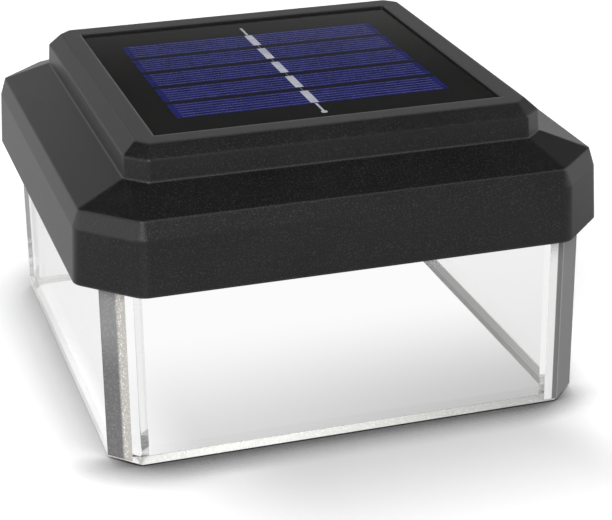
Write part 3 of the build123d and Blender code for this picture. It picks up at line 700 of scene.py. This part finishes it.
def cornerTint(tree, hammer, sand):
    look = cornerSkin
    x, y, z = hereXyz(tree)
    product = times(tree, x, y)
    spread = mathNode(tree, "SUBTRACT", mathNode(tree, "ABSOLUTE", y), mathNode(tree, "ABSOLUTE", x))
    along = times(tree, mathNode(tree, "SIGN", product), spread)
    striped = mathNode(tree, "GREATER_THAN", product, 0.0)
    # two of the cuts are half dark and half beaten; the beaten half is painted light, as where lamp light
    # falls, with painted glints on it
    light = times(tree, ramp(tree, along, *look["lightBand"]), striped)
    fades = span(tree, ramp(tree, along, *look["glintBand"]), 1.0, look["glintLeft"])
    sparkle = times(tree, hammer["Glint"], fades)
    sandy = mixColour(tree, times(tree, sand["Glint"], look["specks"]), look["dark"], look["darkSpeck"])
    paler = times(tree, ramp(tree, z, *look["paleBand"]), look["paleShare"])
    sandy = mixColour(tree, paler, sandy, look["pale"])
    stripes = mixColour(tree, light, sandy, mixColour(tree, sparkle, look["light"], look["glint"]))
    # the other two are plain, with a line along the edge; beside them on the flat is a painted dark
    # reflection, and a frosted stripe beyond it
    plain = mixColour(tree, times(tree, hammer["Glint"], look["streaks"]), look["flank"], look["darkSpeck"])
    onCut = mathNode(tree, "GREATER_THAN", along, -look["cut"])
    onLine = times(tree, ramp(tree, along, *look["lineBand"]), onCut)
    plain = mixColour(tree, onCut, look["flat"], mixColour(tree, onLine, plain, look["line"]))
    plain = mixColour(tree, ramp(tree, along, *look["frostBand"]), plain, look["frosted"])
    return mixColour(tree, striped, plain, stripes), times(tree, light, sparkle)


def footTint(tree, hammer, sand):
    look = footSkin
    x, y = hereXyz(tree)[:2]
    farX, farY = mathNode(tree, "ABSOLUTE", x), mathNode(tree, "ABSOLUTE", y)
    # painted shade: the troughs between the ribs are painted darker
    wave = mathNode(tree, "SINE", times(tree, farX, 2 * math.pi / look["ribPitch"]))
    ribbed = mixColour(tree, span(tree, wave, 0.5, 1.0), look["grooves"], look["ribs"])
    # painted sparkle: pebbles painted light where they glint, hollows painted dark
    pebbled = mixColour(tree, hammer["Glint"], look["hollowShade"], look["pebbleGlint"])
    tone = span(tree, ramp(tree, x, *look["shadeBand"]), look["leftShade"], look["rightShade"])
    grey = addNode(tree, "CombineColor", {0: tone, 1: tone, 2: tone}).outputs[0]
    pebbled = mixColour(tree, 1.0, pebbled, grey, "MULTIPLY")
    nearCorner = times(tree, ramp(tree, farY, *look["cornerBand"]), look["cornerShare"])
    ribbed = mixColour(tree, nearCorner, ribbed, pebbled)
    onSide = mathNode(tree, "GREATER_THAN", farX, farY)
    return mixColour(tree, onSide, pebbled, ribbed), times(tree, hammer["Glint"], look["shine"])


def bandTint(tree, hammer, sand):
    look = bandSkin
    z = hereXyz(tree)["Z"]
    wave = mathNode(tree, "SINE", times(tree, z, 2 * math.pi / look["linePitch"]))
    lined = mixColour(tree, span(tree, wave, 0.5, 1.0), look["groove"], look["line"])
    colour = mixColour(tree, ramp(tree, z, *look["linedBand"]), look["plain"], lined)
    return mixColour(tree, times(tree, sand["Glint"], look["specks"]), colour, look["line"]), sand["Glint"]


def cornerSkins(look):
    low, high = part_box("clear_base")
    half, foot = high[0], low[2] + look["foot"]
    upward = Vector((0, 0, high[2] - low[2] - 2 * look["foot"]))
    bm = bmesh.new()
    for quarter in range(4):
        spin = quarterTurns(quarter)
        begin, end = look["ends"][quarter % 2]
        # the near left cut runs from (-half, -half + cut) to (-half + cut, -half)
        middle = Vector((look["cut"] / 2 - half, look["cut"] / 2 - half, foot))
        side = Vector((0.5, -0.5, 0.0))
        outward = Vector((-1, -1, 0)).normalized()
        start = spin @ (middle + side * begin + outward * look["stand"])
        across = spin @ (side * (end - begin))

        def shallow(point):
            return look["shallow"] * look["depth"] * pebbleHeight(point, look["pebble"])

        def deepening(point):
            local = spin.inverted() @ point - middle
            share = (local.dot(side) * 2 - look["middle"]) / look["deepens"] + 0.5
            share = look["shallow"] + (1 - look["shallow"]) * min(max(share, 0.0), 1.0)
            return look["depth"] * share * pebbleHeight(point, look["pebble"])

        addSkin(bm, start, across, upward, look["step"], shallow if quarter % 2 else deepening,
                flatBehind(start, spin @ outward))
        # beside every second cut, a skin that carries the painted dark reflection
        if quarter % 2:
            start = spin @ Vector((-half - look["stand"], look["cut"] - half + look["border"], foot))
            across = spin @ Vector((0, -look["border"], 0))
            back = flatBehind(start, spin @ Vector((-1, 0, 0)))
            addSkin(bm, start, across, upward, look["step"], shallow, back)
    moulded = skinMaterial("cornerTexture", cornerTint, seenFrom=1)
    addPiece("corner_texture", bm, "base", moulded, smooth=True)


def footSkins(look):
    low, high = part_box("clear_base")
    half, foot = high[0], low[2] + look["up"]
    cornerPlane = 2 * half - cornerSkin["cut"] - look["outer"] * math.sqrt(2)
    bm = bmesh.new()
    for quarter in range(4):
        spin = quarterTurns(quarter)
        ribbed = quarter % 2 == 1
        length = 2 * (half - look["outer"] - (look["facingWidth"] if ribbed else 0.0))
        start = spin @ Vector((-length / 2, look["outer"] - half, foot))
        inward = (0, look["width"], 0) if ribbed else (0, look["facingWidth"], look["rise"])

        def lift(point):
            if ribbed:
                return look["ribDepth"] * (1 + math.sin(abs(point.x) * 2 * math.pi / look["ribPitch"]))
            return look["depth"] * pebbleHeight(point, look["pebble"])

        addSkin(bm, start, spin @ Vector((length, 0, 0)), spin @ Vector(inward), look["step"], lift,
                lambda point: Vector((point.x, point.y, low[2] + look["up"] / 2)),
                lambda point: abs(point.x) + abs(point.y) < cornerPlane)
    addPiece("foot_texture", bm, "base", skinMaterial("footTexture", footTint), smooth=True)


def bandSkins(look):
    # the textured band low on the inner side of the right and left walls
    low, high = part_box("clear_base")
    half = high[0]
    length = 2 * (half - look["ends"])
    bm = bmesh.new()
    for quarter in (1, 3):
        spin = quarterTurns(quarter)
        start = spin @ Vector((length / 2, look["wall"] - look["sunk"] - half, low[2] + look["from"]))
        addSkin(bm, start, spin @ Vector((-length, 0, 0)), Vector((0, 0, look["height"])), look["step"],
                lambda point: look["depth"] * pebbleHeight(point, look["pebble"]),
                flatBehind(start, spin @ Vector((0, 1, 0)), look["thickness"]))
    moulded = skinMaterial("bandTexture", bandTint, seenFrom=-1)
    addPiece("foot_band", bm, "base", moulded, smooth=True)


cornerSkins(cornerSkin)
footSkins(footSkin)
bandSkins(bandSkin)
print("clear walls done")


# solar panel: olive-black board, blue crystal strips, printed fingers and tabs
boardFinish = {
    "colour": (0.0055, 0.0058, 0.0050),
    "light": (0.0105, 0.0110, 0.0095),
    "weave": 1.1,  # mm across
    "roughness": 0.3,
    "ior": 1.12,
}
cellFinish = {
    "dark": (0.006, 0.008, 0.105),
    "light": (0.014, 0.020, 0.210),
    "crystal": 2.6,  # mm across
    "roughness": 0.22,
    "ior": 1.2,
}
tabFinish = {
    "colour": (0.86, 0.86, 0.92),
    "stain": (0.72, 0.72, 0.82),
    "roughness": 0.45,
    "metallic": 0.25,
    "edge": 0.3 * mm,
}


def wovenBoard(name, look):
    material, tree = newMaterial(name)
    turns = 2 * math.pi * 1000 / look["weave"]
    warp, weft = (mathNode(tree, "SINE", times(tree, axis, turns)) for axis in hereXyz(tree)[:2])
    weave = times(tree, warp, weft)
    cloud = noiseAt(tree, 120.0, 4.0)
    tone = mathNode(tree, "MULTIPLY_ADD", weave, 0.25, cloud, clamp=True)
    principled(tree, {
        "Base Color": mixColour(tree, tone, look["colour"], look["light"]),
        "Roughness": span(tree, cloud, look["roughness"] - 0.06, look["roughness"] + 0.1),
        "Normal": bumpOf(tree, weave, 0.3, 0.00001), "IOR": look["ior"],
    })
    return material


def crystalCells(look):
    material, tree = newMaterial("crystalCells")
    crystal = addNode(tree, "TexVoronoi", {"Vector": here(tree), "Scale": 1000 / look["crystal"]})
    shade = addNode(tree, "SeparateColor", {0: crystal.outputs["Color"]}).outputs[0]
    fine = noiseAt(tree, 900.0, 3.0)
    tone = mathNode(tree, "MULTIPLY_ADD", fine, 0.4, times(tree, shade, 0.6), clamp=True)
    principled(tree, {
        "Base Color": mixColour(tree, tone, look["dark"], look["light"]),
        "Roughness": span(tree, shade, look["roughness"], look["roughness"] + 0.14),
        "Normal": bumpOf(tree, fine, 0.15, 0.000003), "IOR": look["ior"],
    })
    return material


def tinnedMetal(name, look, along=30.0):
    material, tree = newMaterial(name)
    marks = placeGroup(tree, brushed, Length=along)
    edges = placeGroup(tree, softEdges, Radius=look.get("edge", 0.1 * mm))
    colour = mixColour(tree, marks["Stain"], look["colour"], look["stain"])
    principled(tree, {
        # painted highlight: the edges are painted near white
        "Base Color": mixColour(tree, times(tree, edges["Mask"], 0.8), colour, (0.98, 0.98, 1.0)),
        "Roughness": span(tree, marks["Stain"], look["roughness"], look["roughness"] + 0.15),
        "Normal": bumpOf(tree, marks["Height"], 0.3, 0.00001, edges["Normal"]),
        "Metallic": look.get("metallic", 0.65),
    })
    return material


tinned = tinnedMetal("tinnedTabs", tabFinish)
dress(wovenBoard("panelBoard", boardFinish), "panel_board")
dress(crystalCells(cellFinish), "solar_cells")
dress(tinned, "cell_tabs")


def addRings(bm, rings):
    # a closed solid through rings of points, capped at both ends
    loops = [[bm.verts.new(point) for point in ring] for ring in rings]
    bm.faces.new(reversed(loops[0]))
    bm.faces.new(loops[-1])
    for under, over in zip(loops, loops[1:]):
        for k in range(len(under)):
            after = (k + 1) % len(under)
            bm.faces.new((under[k], under[after], over[after], over[k]))


def rectangle(low, high, inset, z):
    x0, y0, x1, y1 = low[0] + inset, low[1] + inset, high[0] - inset, high[1] - inset
    return [(x0, y0, z), (x1, y0, z), (x1, y1, z), (x0, y1, z)]


def addBar(bm, low, high, chamfer=0.0):
    # a bar between two corners, its top edges cut if a chamfer is given
    levels = [(0.0, low[2]), (0.0, high[2] - chamfer)] + [(chamfer, high[2])] * (chamfer > 0)
    addRings(bm, [rectangle(low, high, inset, z) for inset, z in levels])


fingers = {
    "perStrip": 6,
    "pitch": 1.75 * mm,
    "width": 0.13 * mm,
    "height": 0.015 * mm,
    "endMargin": 1.5 * mm,
    "tabHalf": 1.05 * mm,  # they stop at the tab across the middle
    "colour": (0.40, 0.40, 0.52),
    "stain": (0.28, 0.28, 0.42),
    "roughness": 0.4,
}
strips = {"count": 5, "pitch": 12.5 * mm}


def printFingers(look):
    bm = bmesh.new()
    low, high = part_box("solar_cells")
    for strip in range(strips["count"]):
        stripY = (strip - (strips["count"] - 1) / 2) * strips["pitch"]
        for line in range(look["perStrip"]):
            y = stripY + (line - (look["perStrip"] - 1) / 2) * look["pitch"]
            for start, end in ((low[0] + look["endMargin"], -look["tabHalf"]),
                               (look["tabHalf"], high[0] - look["endMargin"])):
                corner = (start, y - look["width"] / 2, high[2])
                addBar(bm, corner, (end, y + look["width"] / 2, high[2] + look["height"]))
    addPiece("printedFingers", bm, "head", tinnedMetal("printedSilver", look))


tabLinks = {
    "width": 0.22 * mm,
    "thickness": 0.05 * mm,
    "above": 0.01 * mm,
    "chamfer": 0.015 * mm,
    "tabLength": 9.3 * mm,
    "colour": (0.34, 0.34, 0.36),
    "stain": (0.22, 0.22, 0.24),
    "roughness": 0.4,
}


def linkTabs(look):
    # the thin ribbon that runs from one tab to the next
    bm = bmesh.new()
    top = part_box("solar_cells")[1][2]
    gap = strips["pitch"] - look["tabLength"]
    for link in range(strips["count"] - 1):
        middle = (link - (strips["count"] - 2) / 2) * strips["pitch"]
        corner = (-look["width"] / 2, middle - gap / 2, top + look["above"])
        addBar(bm, corner, (look["width"] / 2, middle + gap / 2, top + look["thickness"]), look["chamfer"])
    addPiece("tabLinks", bm, "head", tinnedMetal("dullLinks", look))


def addDome(bm, centre, radius, height, rings=5, sides=20):
    # a low blob with a round rim, such as solder or a lens; a height below 0 hangs down
    x, y, z = centre
    loops = []
    for ring in range(rings):
        angle = ring / rings * math.pi / 2
        r, level = radius * math.cos(angle), z + height * math.sin(angle)
        turns = [2 * math.pi * k / sides for k in range(sides)]
        loops.append([bm.verts.new((x + r * math.cos(t), y + r * math.sin(t), level)) for t in turns])
    tip = bm.verts.new((x, y, z + height))
    bm.faces.new(loops[0])
    for under, over in zip(loops, loops[1:]):
        for k in range(sides):
            bm.faces.new((under[k], under[(k + 1) % sides], over[(k + 1) % sides], over[k]))
    for k in range(sides):
        bm.faces.new((loops[-1][k], loops[-1][(k + 1) % sides], tip))


solder = {
    "radius": 0.85 * mm,
    "farRadius": 0.51 * mm,
    "height": 0.30 * mm,
    "above": 0.02 * mm,
    "inset": 0.8 * mm,  # from either end of the ribbon
    "farInset": 0.5 * mm,
    "colour": (0.75, 0.75, 0.78),
    "stain": (0.5, 0.5, 0.53),
    "roughness": 0.18,
}


def meltSolder(look):
    bm = bmesh.new()
    low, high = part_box("cell_tabs")
    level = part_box("panel_board")[1][2] + look["above"]
    addDome(bm, (0, low[1] + look["inset"], level), look["radius"], look["height"])
    addDome(bm, (0, high[1] - look["farInset"], level), look["farRadius"], look["height"])
    addPiece("solderDots", bm, "head", tinnedMetal("freshSolder", look), smooth=True)


def pourCover(look):
    # resin poured flush round the strips and tabs, its edge a little rounded
    bm = bmesh.new()
    low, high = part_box("panel_cover")
    levels = [(0.0, low[2] - look["sunk"])]
    for angle in (math.radians(22.5 * k) for k in range(5)):
        inset = look["meniscus"] * (1 - math.cos(angle))
        levels.append((inset, high[2] - look["meniscusDrop"] * (1 - math.sin(angle))))
    addRings(bm, [rectangle(low, high, inset, z) for inset, z in levels])
    cover = addPiece("poured_cover", bm, "head", clearCover(look))
    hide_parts("panel_cover")


pourCover(coverFinish)
printFingers(fingers)
linkTabs(tabLinks)
meltSolder(solder)
print("solar panel done")

# rubber and sealant
sealFinish = {"colour": (0.012, 0.012, 0.012), "bloom": (0.05, 0.05, 0.05), "roughness": 0.75}
sealantFinish = {"colour": (0.35, 0.35, 0.34), "bloom": (0.5, 0.5, 0.48), "roughness": 0.4}


def softRubber(name, look):
    material, tree = newMaterial(name)
    bloom = noiseAt(tree, 300.0, 6.0)
    pores = addNode(tree, "TexVoronoi", {"Vector": here(tree), "Scale": 2500.0}).outputs["Distance"]
    principled(tree, {
        "Base Color": mixColour(tree, ramp(tree, bloom, 0.4, 0.8), look["colour"], look["bloom"]),
        "Roughness": span(tree, bloom, look["roughness"] - 0.1, look["roughness"] + 0.15),
        "Normal": bumpOf(tree, pores, 0.4, 0.00003),
    })
    return material


dress(softRubber("sealRubber", sealFinish), "housing_gasket")
dress(softRubber("panelSealant", sealantFinish), "panel_sealant")

# metal parts
screwFinish = {"colour": (0.60, 0.59, 0.57), "stain": (0.38, 0.37, 0.35), "roughness": 0.3}
contactFinish = {"colour": (0.70, 0.69, 0.64), "stain": (0.55, 0.52, 0.46), "roughness": 0.22}
zinc = tinnedMetal("zincPlate", screwFinish, along=600.0)
dress(zinc, "tray_screws", "board_screws", "door_hinge_pin")
dress(tinnedMetal("springNickel", contactFinish, along=80.0), "contact_positive", "contact_negative")

# dark crosses on the screw heads: painted shade where the recesses would be
crossRecess = {
    "span": 2.3 * mm,
    "slot": 0.62 * mm,
    "depth": 0.03 * mm,
    "colour": (0.05, 0.048, 0.045),
    "stain": (0.03, 0.03, 0.028),
    "roughness": 0.5,
}


def headPlaces(nodeName):
    # the middle of each screw's head, on the side it is driven from
    clusters = {}
    for vertex in nodes[nodeName].data.vertices:
        clusters.setdefault((vertex.co.x > 0, vertex.co.y > 0), []).append(vertex.co)
    for points in clusters.values():
        left, right = min(point.x for point in points), max(point.x for point in points)
        front, back = min(point.y for point in points), max(point.y for point in points)
        gaps = {}  # how far each level stays short of the widest
        for point in points:
            level = round(point.z, 6)
            gaps[level] = min(gaps.get(level, 1.0), right - point.x)
        low, high = min(gaps), max(gaps)
        z, up = (low, -1.0) if gaps[low] < gaps[high] else (high, 1.0)
        yield (left + right) / 2, (front + back) / 2, z, up


# each cross is a thin dark slab on the head, painted shade for its recess
def crossHeads(look):
    bm = bmesh.new()
    arm, half = look["span"] / 2, look["slot"] / 2
    outline = [(arm, half), (half, half), (half, arm), (-half, arm), (-half, half), (-arm, half),
               (-arm, -half), (-half, -half), (-half, -arm), (half, -arm), (half, -half), (arm, -half)]
    for nodeName in ("tray_screws", "board_screws"):
        for x, y, z, up in headPlaces(nodeName):
            levels = (z - up * look["depth"], z + up * look["depth"])
            addRings(bm, [[(x + a, y + b, level) for a, b in outline] for level in levels])
    addPiece("cross_recesses", bm, "head", tinnedMetal("recessShade", look))


crossHeads(crossRecess)


# rechargeable cell: printed wrap with bare metal ends
wrapFinish = {
    "body": (0.03, 0.20, 0.10),
    "bodyDark": (0.02, 0.14, 0.07),
    "band": (0.75, 0.77, 0.75),
    "metal": (0.6, 0.6, 0.6),
    "bandMiddle": 8 * mm,  # from the cell's left end
    "bandHalf": 2 * mm,
    "bareLeft": 0.4 * mm,
    "bareRight": 1.7 * mm,
}


def printedWrap(look):
    material, tree = newMaterial("cellWrap")
    x = hereXyz(tree)["X"]
    low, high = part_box("rechargeable_cell")
    fromMiddle = mathNode(tree, "ABSOLUTE", mathNode(tree, "SUBTRACT", x, low[0] + look["bandMiddle"]))
    band = mathNode(tree, "LESS_THAN", fromMiddle, look["bandHalf"])
    bareLeft = mathNode(tree, "LESS_THAN", x, low[0] + look["bareLeft"])
    bareRight = mathNode(tree, "GREATER_THAN", x, high[0] - look["bareRight"])
    bare = mathNode(tree, "MAXIMUM", bareLeft, bareRight)
    cloud = noiseAt(tree, 200.0, 4.0)
    wrap = mixColour(tree, band, mixColour(tree, cloud, look["bodyDark"], look["body"]), look["band"])
    principled(tree, {
        "Base Color": mixColour(tree, bare, wrap, look["metal"]), "Metallic": bare,
        "Roughness": span(tree, cloud, 0.2, 0.34), "Coat Weight": 0.3,
        "Normal": bumpOf(tree, cloud, 0.2, 0.00002),
    })
    return material


dress(printedWrap(wrapFinish), "rechargeable_cell")


# circuit boards: solder mask over copper tracks
pcbFinish = {
    "mask": (0.01, 0.10, 0.035),
    "track": (0.02, 0.19, 0.07),
    "pad": (0.65, 0.62, 0.5),
    "pitch": 2.54 * mm,
}
barFinish = dict(pcbFinish, mask=(0.72, 0.72, 0.70), track=(0.80, 0.80, 0.77), pitch=3.0 * mm)


def solderMask(name, look):
    material, tree = newMaterial(name)
    lanes, rows = (mathNode(tree, "PINGPONG", axis, look["pitch"]) for axis in hereXyz(tree)[:2])
    route = noiseAt(tree, 90.0, 0.0)
    across = mathNode(tree, "LESS_THAN", lanes, look["pitch"] * 0.22)
    down = mathNode(tree, "LESS_THAN", rows, look["pitch"] * 0.22)
    track = between(tree, mathNode(tree, "GREATER_THAN", route, 0.5), down, across)
    reach = mathNode(tree, "ADD", times(tree, lanes, lanes), times(tree, rows, rows))
    pad = mathNode(tree, "LESS_THAN", reach, (look["pitch"] * 0.2) ** 2)
    colour = mixColour(tree, track, look["mask"], look["track"])
    principled(tree, {
        "Base Color": mixColour(tree, pad, colour, look["pad"]), "Metallic": times(tree, pad, 0.8),
        "Roughness": span(tree, route, 0.22, 0.38),
        "Normal": bumpOf(tree, mathNode(tree, "MAXIMUM", track, pad), 0.3, 0.00003),
    })
    return material


dress(solderMask("greenBoard", pcbFinish), "circuit_board")
barSides = ("right", "back", "left", "front")
dress(solderMask("whiteLightBar", barFinish), *["light_bar_" + side for side in barSides])


# chip, coil, capacitor and resistors share one node, so their colours follow their places
partsFinish = {
    "chip": (0.012, 0.012, 0.013),
    "coil": (0.20, 0.075, 0.03),
    # painted shade between the coil's turns
    "shadeBetweenTurns": (0.06, 0.02, 0.01),
    "turns": 14000.0,
    "can": (0.55, 0.55, 0.57),
    "resistor": (0.02, 0.02, 0.022),
    "rowY": -24.6 * mm,  # the row of large parts stands in front of this line
    "chipTo": -6 * mm,
    "coilTo": 6 * mm,
}


def boardParts(look):
    material, tree = newMaterial("boardParts")
    x, y, z = hereXyz(tree)
    inRow = mathNode(tree, "LESS_THAN", y, look["rowY"])
    isCan = mathNode(tree, "GREATER_THAN", x, look["coilTo"])
    isChip = mathNode(tree, "LESS_THAN", x, look["chipTo"])
    # the coil is painted darker between its turns, as painted shade
    rings = mathNode(tree, "SINE", times(tree, z, look["turns"]))
    colour = mixColour(tree, span(tree, rings, 0.3, 1.0), look["shadeBetweenTurns"], look["coil"])
    colour = mixColour(tree, isCan, colour, look["can"])
    colour = mixColour(tree, isChip, colour, look["chip"])
    fine = noiseAt(tree, 1500.0, 3.0)
    principled(tree, {
        "Base Color": mixColour(tree, inRow, look["resistor"], colour),
        "Roughness": span(tree, fine, 0.3, 0.5), "Metallic": times(tree, isCan, inRow),
        "Normal": bumpOf(tree, mathNode(tree, "MULTIPLY_ADD", rings, 0.3, fine), 0.3, 0.00003),
    })
    return material


dress(boardParts(partsFinish), "board_components")

# lamps under the light bars: white package, and a yellow phosphor dome as the lens of each
lampFinish = {
    "package": (0.78, 0.77, 0.73),
    "shade": (0.62, 0.61, 0.57),
    "phosphor": (0.85, 0.62, 0.10),
    "grain": (0.95, 0.80, 0.25),
    "lensRadius": 1.1 * mm,
    "lensHeight": 0.35 * mm,
    "spacing": 18 * mm,
    "perBar": 3,
}


def whitePackage(look):
    material, tree = newMaterial("lampPackage")
    fine = noiseAt(tree, 800.0, 4.0)
    edges = placeGroup(tree, softEdges, Radius=0.2 * mm)
    principled(tree, {
        "Base Color": mixColour(tree, fine, look["shade"], look["package"]),
        "Roughness": span(tree, fine, 0.3, 0.5),
        "Normal": bumpOf(tree, fine, 0.2, 0.00001, edges["Normal"]),
    })
    return material


def phosphorGel(look):
    material, tree = newMaterial("phosphorGel")
    grains = addNode(tree, "TexVoronoi", {"Vector": here(tree), "Scale": 9000.0}).outputs["Distance"]
    principled(tree, {
        "Base Color": mixColour(tree, grains, look["phosphor"], look["grain"]), "Coat Weight": 0.5,
        "Roughness": span(tree, grains, 0.12, 0.3),
        "Normal": bumpOf(tree, grains, 0.2, 0.00001),
    })
    return material


def lampLenses(look):
    gel = phosphorGel(look)
    for side in barSides:
        low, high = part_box("leds_" + side)
        x, y = (low[0] + high[0]) / 2, (low[1] + high[1]) / 2
        bm = bmesh.new()
        for k in range(look["perBar"]):
            step = (k - (look["perBar"] - 1) / 2) * look["spacing"]
            centre = (x + step, y, low[2]) if side in ("back", "front") else (x, y + step, low[2])
            addDome(bm, centre, look["lensRadius"], -look["lensHeight"])
        addPiece("lamp_lenses_" + side, bm, "head", gel, smooth=True)


dress(whitePackage(lampFinish), *["leds_" + side for side in barSides])
lampLenses(lampFinish)

# wire jackets
jackets = {
    "twinColour": (0.02, 0.02, 0.02),
    "red": (0.45, 0.02, 0.015),
    "black": (0.012, 0.012, 0.012),
    "scuff": (0.10, 0.09, 0.09),
    "roughness": 0.35,
}


def wireJacket(name, left, right, look):
    # the colours of the wires on either side of the middle
    material, tree = newMaterial(name)
    flow = noiseAt(tree, 500.0, 3.0)
    colour = mixColour(tree, mathNode(tree, "GREATER_THAN", hereXyz(tree)["X"], 0.0), left, right)
    principled(tree, {
        "Base Color": mixColour(tree, times(tree, flow, 0.3), colour, look["scuff"]),
        "Roughness": span(tree, flow, look["roughness"] - 0.08, look["roughness"] + 0.12),
        "Normal": bumpOf(tree, flow, 0.2, 0.00003),
    })
    return material


twinJacket = wireJacket("twinJacket", jackets["twinColour"], jackets["twinColour"], jackets)
dress(twinJacket, "panel_leads", "led_leads")
dress(wireJacket("batteryJackets", jackets["black"], jackets["red"], jackets), "battery_leads")
print("inside parts done")
